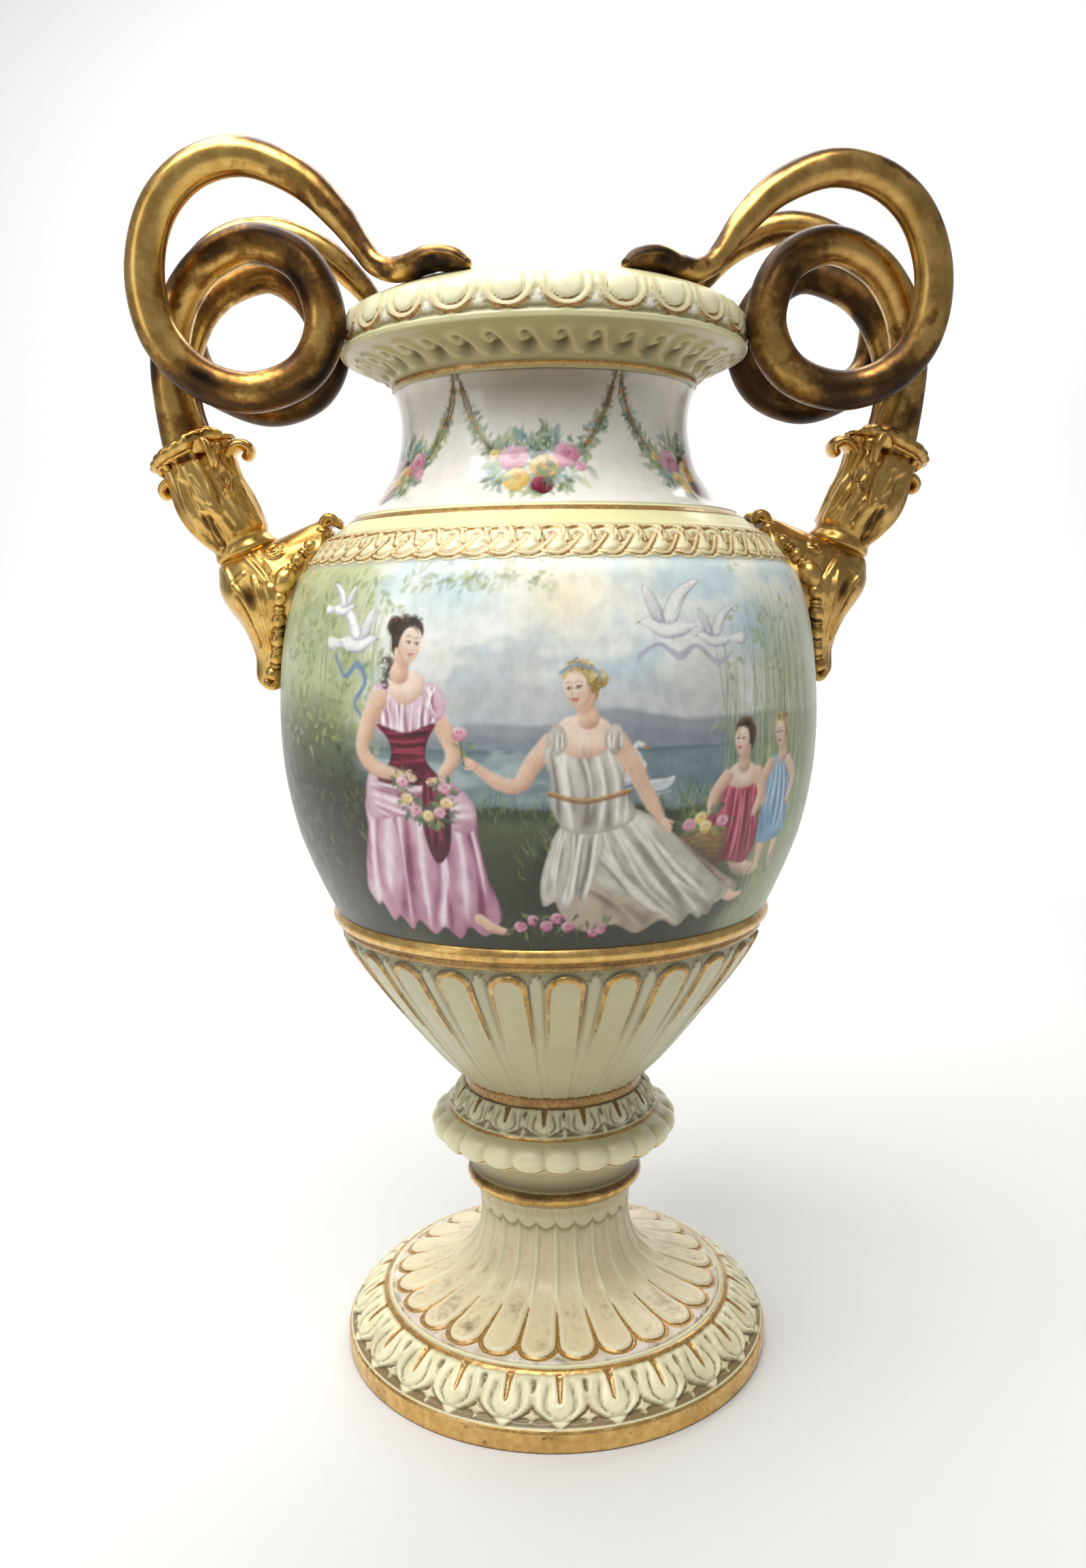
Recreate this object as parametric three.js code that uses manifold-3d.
// Mantel urn: a hollow porcelain vase with a fluted cup, a wide belly, a waisted neck and an
// egg-and-dart rim, standing on a separate fluted foot. A gilded handle of two coiled snakes is
// luted to each shoulder. Millimetres, +Z up, origin at the centre of the foot's underside.
// The front is -Y and the handles lie on +X and -X.

import * as THREE from 'three';
import Module from 'manifold-3d';
import { mergeVertices } from 'three/addons/utils/BufferGeometryUtils.js';

// ---------------------------------------------------------------- driving dimensions
const GAP = 0.3;              // clearance between touching pieces
const WALL = 6.5;             // thickness of the thrown and cast walls
const SEAM_Z = 139.3;         // top of the foot, where the vase stands on it
const FOOT_RADIUS = 107.6;    // gilt band of the foot
const FOOT_RING = 92;         // inner radius of the ring the urn stands on
const BAND_HEIGHT = 9.9;      // gilt band of the foot
const BELLY_RADIUS = 129;
const BELLY_Z = 325;
const NECK_RADIUS = 67.8;
const NECK_Z = 453.3;
const RIM_RADIUS = 94.8;
const RIM_TOP = 513.2;

// how often each carved motif repeats around the axis, and where one of them is centred, in
// degrees from the front towards +X
const MOTIF = {
  baseLeaf: { count: 25, at: -2.9 },
  petal: { count: 25, at: 4.0 },
  lobe: { count: 24, at: -0.6 },
  knopLeaf: { count: 16, at: 13.6 },
  flute: { count: 25, at: -0.2 },
  egg: { count: 25, at: 2.2 },
};

// one motif across its width, as [place across it from -0.5 to 0.5, share of the relief]
const SHAPE = {
  leaf: [[-0.5, 0], [-0.2, 1], [0.2, 1]],
  petal: [[-0.5, 0], [-0.18, 1], [0.18, 1]],
  lobe: [[-0.5, 0], [-0.18, 1], [0.18, 1]],
  flute: [[-0.5, 0], [-0.3, 1], [0.3, 1]],
  egg: [[-0.5, 0], [-0.22, 1], [0.22, 1]],
};

// ---------------------------------------------------------------- rings and lofts
// a plain ring of n corners
function ring(radius, z, n) {
  return Array.from({ length: n }, (_, i) => ({ t: i / n, p: polar(radius, i / n, z) }));
}

// t runs from 0 to 1 around the axis, from the front towards +X
function polar(radius, t, z) {
  const a = t * Math.PI * 2;
  return [radius * Math.sin(a), -radius * Math.cos(a), z];
}

// a ring whose radius rises and falls with a carved motif; relief is its depth, and the radius
// given is that of the ridges
function carved(radius, z, motif, shape, relief) {
  const out = [];
  for (let k = 0; k < motif.count; k++) {
    for (const [s, share] of shape) {
      const t = (k + s) / motif.count + motif.at / 360;
      out.push({ t: t - Math.floor(t), r: radius - relief * (1 - share) });
    }
  }
  out.sort((a, b) => a.t - b.t);
  return out.map(({ t, r }) => ({ t, p: polar(r, t, z) }));
}

const point = (z) => [{ t: 0, p: [0, 0, z] }];

// evenly spaced radius and height along a smooth profile through a few key sizes
function profile(keys, steps) {
  const curve = new THREE.SplineCurve(keys.map(([r, z]) => new THREE.Vector2(r, z)));
  return curve.getSpacedPoints(steps).map((v) => [v.x, v.y]);
}

// the skin between rings of any number of corners, as one closed mesh
function skin(rings) {
  const verts = [];
  const tris = [];
  let last = null;
  for (const r of rings) {
    const here = r.map(({ t, p }) => ({ t, i: verts.push(p) - 1 }));
    if (last) join(tris, last, here);
    last = here;
  }
  return { verts, tris };
}

function join(tris, a, b) {
  if (a.length === 1) {
    for (let j = 0; j < b.length; j++) tris.push([a[0].i, b[(j + 1) % b.length].i, b[j].i]);
    return;
  }
  if (b.length === 1) {
    for (let i = 0; i < a.length; i++) tris.push([a[i].i, a[(i + 1) % a.length].i, b[0].i]);
    return;
  }
  const at = (list, k) => list[k % list.length].t + Math.floor(k / list.length);
  let i = 0;
  let j = 0;
  while (i < a.length || j < b.length) {
    const stepA = j >= b.length || (i < a.length && at(a, i + 1) + at(a, i) < at(b, j + 1) + at(b, j));
    const ai = a[i % a.length].i;
    const bj = b[j % b.length].i;
    if (stepA) {
      tris.push([ai, a[(i + 1) % a.length].i, bj]);
      i++;
    } else {
      tris.push([ai, b[(j + 1) % b.length].i, bj]);
      j++;
    }
  }
}

function geometryOf({ verts, tris }) {
  const g = new THREE.BufferGeometry();
  g.setAttribute('position', new THREE.BufferAttribute(new Float32Array(verts.flat()), 3));
  g.setIndex(tris.flat());
  return g;
}

// ---------------------------------------------------------------- booleans
const wasm = await Module();
wasm.setup();

function solidOf(geometry) {
  const g = geometry.clone();
  g.deleteAttribute('normal');
  g.deleteAttribute('uv');
  const m = mergeVertices(g, 1e-4);
  return new wasm.Manifold(new wasm.Mesh({
    numProp: 3,
    vertProperties: new Float32Array(m.attributes.position.array),
    triVerts: new Uint32Array(m.index.array),
  }));
}

function geometryOfSolid(solid) {
  const mesh = solid.getMesh();
  const g = new THREE.BufferGeometry();
  const n = mesh.vertProperties.length / mesh.numProp;
  const pos = new Float32Array(n * 3);
  for (let i = 0; i < n; i++) {
    for (let k = 0; k < 3; k++) pos[i * 3 + k] = mesh.vertProperties[i * mesh.numProp + k];
  }
  g.setAttribute('position', new THREE.BufferAttribute(pos, 3));
  g.setIndex(Array.from(mesh.triVerts));
  return g;
}

// ---------------------------------------------------------------- foot
function foot() {
  const rings = [point(112)];
  // the hollow underneath, up inside the stem and out to the standing ring
  for (const [r, z] of profile([[24, 112], [29, 84], [31, 58], [47, 36], [74, 22], [FOOT_RING, 5], [FOOT_RING, 0]], 5)) {
    rings.push(ring(r, z, 28));
  }
  // gilt band and the leaves that lie on it
  rings.push(ring(FOOT_RADIUS - 0.3, 0, 56), ring(FOOT_RADIUS - 0.5, BAND_HEIGHT, 56));
  for (const [r, z, relief] of [[105.2, 11.2, 0.8], [101.6, 16.6, 3.2], [92.8, 24, 2.6], [87.8, 26.4, 0.4]]) {
    rings.push(carved(r, z, MOTIF.baseLeaf, SHAPE.leaf, relief));
  }
  // long petals that run up the stem as flutes
  const petals = profile([[83.4, 29.8], [67.2, 33.6], [51.8, 39.8], [42, 48.2], [37.6, 62], [37.4, 77.5]], 5);
  petals.forEach(([r, z], i) => rings.push(carved(r, z, MOTIF.petal, SHAPE.petal, i < 2 ? 2.2 : 1.0)));
  // collar, torus and scotia
  rings.push(ring(40.4, 82.4, 30), ring(43.9, 84.8, 30), ring(43.9, 88, 30), ring(41.4, 91, 30), ring(41.6, 97.6, 30), ring(43.2, 101.4, 30));
  // lobed knop
  for (const [r, z, relief] of [[49.5, 104.4, 0.8], [60.4, 110.4, 2], [61, 116, 2], [54.6, 120.6, 0.8]]) {
    rings.push(carved(r, z, MOTIF.lobe, SHAPE.lobe, relief));
  }
  // ring of leaves and the collar that carries the vase
  for (const [r, z, relief] of [[51.6, 122.4, 0.6], [49.6, 128.6, 1.8], [46.2, 134, 1.2]]) {
    rings.push(carved(r, z, MOTIF.knopLeaf, SHAPE.leaf, relief));
  }
  rings.push(ring(44.6, 135.2, 30), ring(44.6, SEAM_Z, 30), point(SEAM_Z));
  return geometryOf(skin(rings));
}

// ---------------------------------------------------------------- vase body
// key radii and heights of the outside, from the cup to the mouth
const CUP = [[46.6, SEAM_Z + 1.6], [58.9, 153.6], [76.6, 175.7], [92.3, 196.9], [101.8, 212], [103, 216.6]];
const BELLY = [[106.2, 229], [115.8, 250.4], [122.7, 269.9], [127.7, 296], [BELLY_RADIUS, BELLY_Z], [126.2, 359], [120, 382.9], [114.6, 390.4]];
const SHOULDER = [[114.4, 391], [103.7, 403.6], [93, 412.1], [82.5, 419.7], [75.4, 428.5], [70.4, 438.4], [NECK_RADIUS, NECK_Z], [69, 465.3], [71.9, 473]];
const COVE = [[72.3, 475], [77, 480.2], [88, 484.9], [RIM_RADIUS, 487.2]];
const LIP = [[88, 506.4], [77, 511.6], [72, RIM_TOP], [67.4, 511.4]];
const INSIDE = [[64.6, 508], [61.8, 484], [NECK_RADIUS - WALL, NECK_Z], [64.2, 437], [70, 424.5], [88.6, 407.6], [107.4, 389], [117.6, 370],
  [BELLY_RADIUS - WALL, BELLY_Z], [118.6, 276], [107.8, 245], [91.6, 210], [69.4, 178], [42, 151.5]];

function outline() {
  return [...profile(BELLY, 6), ...profile(SHOULDER, 7), ...profile(COVE, 2)];
}

function vaseBody() {
  const rings = [point(SEAM_Z + GAP), ring(45.2, SEAM_Z + GAP, 46)];
  const flutes = profile(CUP, 5);
  flutes.forEach(([r, z], i) => rings.push(i === 0 ? ring(r, z, 46) : carved(r, z, MOTIF.flute, SHAPE.flute, i === 1 ? 0.5 : 1.3)));
  rings.push(ring(103.2, 221.4, 46), ring(106.2, 223.2, 46), ring(106, 225.4, 46));
  for (const [r, z] of outline()) rings.push(ring(r, z, 46));
  for (const [r, z, relief] of [[94.9, 488.6, 0.2], [94.8, 496.6, 1.6], [91.8, 504.2, 1.2]]) {
    rings.push(carved(r, z, MOTIF.egg, SHAPE.egg, relief));
  }
  for (const [r, z] of LIP) rings.push(ring(r, z, 32));
  for (const [r, z] of profile(INSIDE, 9)) rings.push(ring(r, z, 30));
  rings.push(point(150));
  return geometryOf(skin(rings));
}

// the space that the shoulder, neck and rim take up, with the clearance, for trimming the handles
function keepOut() {
  const n = 46;
  const grow = (r) => (r + GAP + 0.1) / Math.cos(Math.PI / n);
  const rings = [point(300), ring(grow(128.4), 300, n)];
  for (const [r, z] of [...outline(), [RIM_RADIUS, 488.2], [RIM_RADIUS, 496.4], [91.8, 504.4 + GAP], ...LIP.slice(0, 3).map(([r, z]) => [r, z + GAP])]) {
    if (z > 300) rings.push(ring(grow(r), z, n));
  }
  rings.push(point(RIM_TOP + GAP + 0.1));
  return solidOf(geometryOf(skin(rings)));
}

// ---------------------------------------------------------------- handles
// One snake of a pair, from the trunk to its nose. Each station is [distance out from the axis,
// height, distance in front of the handle's middle plane, width, thickness].
const SNAKE = [
  [166.4, 444, 3, 22, 24], [171.2, 466, 8, 18.4, 19], [172, 485, 12, 17.6, 17.6], [168, 503, 16, 17.4, 17.4],
  [161, 516, 18.5, 17.4, 17.4], [150.2, 526, 22, 17.4, 17.4], [129.6, 532.7, 26.5, 17.5, 17.5],
  [108.4, 523.3, 30, 18, 18], [98.7, 497.9, 33, 18.4, 18.4], [107.9, 476.4, 35, 18.2, 18.2],
  [130.8, 467, 36.5, 17.8, 17.8], [152.9, 472.4, 38.5, 17.6, 17.6], [169.2, 489.5, 40, 17.4, 17.4],
  [174.6, 517, 41, 17, 17], [166.8, 543.2, 43, 16.8, 16.8], [150.8, 558.1, 45, 16.6, 16.6],
  [130, 562.2, 47, 16.2, 16.2], [106, 552.6, 49, 14.8, 14.8], [90, 537.2, 51, 12.4, 12.4], [80.8, 524.4, 53, 9.6, 9.6],
  [74.8, 516.8, 55, 9.8, 9.6], [67.2, 513.6, 57.5, 11.4, 10.4], [60, 514, 60.5, 13.4, 11],
  [50.4, 516, 66, 15.6, 10.6], [41, 514.4, 70.5, 10.6, 7], [35.4, 511.6, 73.5, 5, 3.4],
];
const COIL = { out: 130, up: 500, stations: [7, 11] };   // centre of the small coil, and its inner stations
const COIL_TIGHTER_BEHIND = 0.12;     // the rear snake of each pair coils this much closer
// the right-hand pair is set by hand to lean in by this much past its coil, and its loop is lower
const LEAN = { left: 0, right: 5.5 };
// how much lower the big loop of each snake is than the left front one, as [front, rear]
const DROP = { left: [0, 5], right: [3, 1] };
// the calyx that holds the trunk: [distance out, height, half width across, half depth, flare of the lips]
const CALYX = [[141.2, 397.4, 13, 12.6, 0], [147, 407, 15.4, 16.2, 0], [154.8, 419.4, 17.6, 18.6, 0.4], [160.2, 431, 17, 17.8, 1.4], [163.4, 440.6, 17.2, 17.8, 3.4], [165.4, 444.2, 18.8, 18.8, 4.2]];
const CALYX_LIPS = 4;
// the leafy plate on the shoulder: [height, distance out of its crest, half width across]
const PLATE = [[334.2, 137, 6.5], [339, 140.4, 9], [350, 140.6, 15], [363, 145.4, 24.5], [376.5, 154.4, 29], [386, 156.2, 27], [394.5, 153, 23], [403, 133, 20], [413.4, 109, 11]];
const TUBE_SIDES = 7;
const TUBE_STEPS = 27;

// a closed tube of elliptic sections through the stations; sections stay square to the path,
// with one axis of each kept as near as can be to the side direction
function tube(stations, steps, sides) {
  const path = new THREE.CatmullRomCurve3(stations.map(([u, z, w]) => new THREE.Vector3(u, -w, z)), false, 'centripetal');
  const size = (k) => new THREE.CatmullRomCurve3(stations.map((s, i) => new THREE.Vector3(i, s[k], 0)), false, 'catmullrom');
  const [wide, thick] = [size(3), size(4)];
  const verts = [];
  const tris = [];
  const across = new THREE.Vector3(0, -1, 0);
  for (let k = 0; k <= steps; k++) {
    const t = k / steps;
    const p = path.getPoint(t);
    const along = path.getTangent(t);
    const side = across.clone().addScaledVector(along, -across.dot(along)).normalize();
    const up = new THREE.Vector3().crossVectors(along, side);
    const [a, b] = [wide.getPoint(t).y / 2, thick.getPoint(t).y / 2];
    for (let j = 0; j < sides; j++) {
      const f = ((j + 0.5) / sides) * Math.PI * 2;
      const v = p.clone().addScaledVector(side, a * Math.cos(f)).addScaledVector(up, b * Math.sin(f));
      verts.push([v.x, v.y, v.z]);
    }
  }
  for (let k = 0; k < steps; k++) {
    for (let j = 0; j < sides; j++) {
      const [a, b] = [k * sides + j, k * sides + ((j + 1) % sides)];
      tris.push([a, b, b + sides], [a, b + sides, a + sides]);
    }
  }
  const ends = [verts.push(path.getPoint(0).toArray()) - 1, verts.push(path.getPoint(1).toArray()) - 1];
  for (let j = 0; j < sides; j++) {
    const n = (j + 1) % sides;
    tris.push([ends[0], n, j], [ends[1], steps * sides + j, steps * sides + n]);
  }
  return { verts, tris };
}

// a stack of closed sections with a fan at each end
function loft(sections) {
  const middle = (s) => s.reduce((m, p) => [m[0] + p[0] / s.length, m[1] + p[1] / s.length, m[2] + p[2] / s.length], [0, 0, 0]);
  const rings = sections.map((s) => s.map((p, i) => ({ t: i / s.length, p })));
  return skin([[{ t: 0, p: middle(sections[0]) }], ...rings, [{ t: 0, p: middle(sections[sections.length - 1]) }]]);
}

// leafy sleeve: elliptic sections square to its leaning axis, with lips at the top
function calyx() {
  const sides = CALYX_LIPS * 3;
  const sections = CALYX.map(([u, z, across, deep, flare], i) => {
    const next = CALYX[Math.min(i + 1, CALYX.length - 1)];
    const prev = CALYX[Math.max(i - 1, 0)];
    const lean = Math.atan2(next[0] - prev[0], next[1] - prev[1]) * 0.7;
    return Array.from({ length: sides }, (_, j) => {
      const f = (j / sides) * Math.PI * 2;
      const lip = 1 + (flare / across) * Math.cos(f * CALYX_LIPS);
      const [x, y] = [Math.cos(f) * across * lip, Math.sin(f) * deep * lip];
      return [u + x * Math.cos(lean), y, z - x * Math.sin(lean)];
    });
  });
  return loft(sections);
}

// leafy plate: level sections that swell from a thin edge to the crest in the middle
function plate() {
  const sides = 10;
  return loft(PLATE.map(([z, crest, half]) => {
    const back = Math.min(crest - 12, 104);
    const out = [];
    for (let j = 0; j <= sides; j++) {
      const s = (j / sides) * 2 - 1;
      const edge = Math.sqrt(Math.max(0, 1 - s * s));
      const base = Math.max(back, crest - 40);
      out.push([base + (crest - base) * edge ** 0.62, half * s, z]);
    }
    out.push([back, half * 0.86, z], [back, -half * 0.86, z]);
    return out;
  }));
}

// the stations of one snake: the front or the rear one, of the left or the right pair
function snake(hand, front) {
  const ease = (x) => THREE.MathUtils.smoothstep(x, 0, 1);
  return SNAKE.map(([u, z, w, a, b], i) => {
    let [out, up, side] = [u, z, w];
    if (!front && i >= COIL.stations[0] && i <= COIL.stations[1]) {
      out = COIL.out + (out - COIL.out) * (1 - COIL_TIGHTER_BEHIND);
      up = COIL.up + (up - COIL.up) * (1 - COIL_TIGHTER_BEHIND);
      side *= 1 - COIL_TIGHTER_BEHIND;
    }
    out -= LEAN[hand] * ease((i - 10.5) / 6);
    up -= DROP[hand][front ? 0 : 1] * ease(1 - Math.abs(i - 16) / 4);
    return [out, up, front ? side : -side, a, b];
  });
}

function handle(hand) {
  const parts = [tube(snake(hand, true), TUBE_STEPS, TUBE_SIDES), tube(snake(hand, false), TUBE_STEPS, TUBE_SIDES), calyx(), plate()]
    .map((m) => solidOf(geometryOf(m)));
  const whole = parts.slice(1).reduce((sum, s) => sum.add(s), parts[0]);
  return whole.subtract(keepOut());
}

// ---------------------------------------------------------------- the urn
// the same shape on the other side of the axis, with its faces turned back outwards
function mirrored(g) {
  const flip = g.clone().applyMatrix4(new THREE.Matrix4().makeScale(-1, 1, 1));
  const index = flip.index.array.slice();
  for (let i = 0; i < index.length; i += 3) [index[i + 1], index[i + 2]] = [index[i + 2], index[i + 1]];
  flip.setIndex(new THREE.BufferAttribute(index, 1));
  return flip;
}

const glaze = (color) => new THREE.MeshStandardMaterial({ color, roughness: 0.22, metalness: 0 });
const gilt = () => new THREE.MeshStandardMaterial({ color: 0xb5842f, roughness: 0.3, metalness: 1 });

function node(name, geometry, material) {
  const mesh = new THREE.Mesh(geometry, material);
  mesh.name = name;
  return mesh;
}

const urn = new THREE.Group();
urn.name = 'mantel_urn';
urn.add(node('foot', foot(), glaze(0xe4dcc0)));
urn.add(node('vase_body', vaseBody(), glaze(0xe9e3c8)));
urn.add(node('handle_right', geometryOfSolid(handle('right')), gilt()));
urn.add(node('handle_left', mirrored(geometryOfSolid(handle('left'))), gilt()));

export default urn;
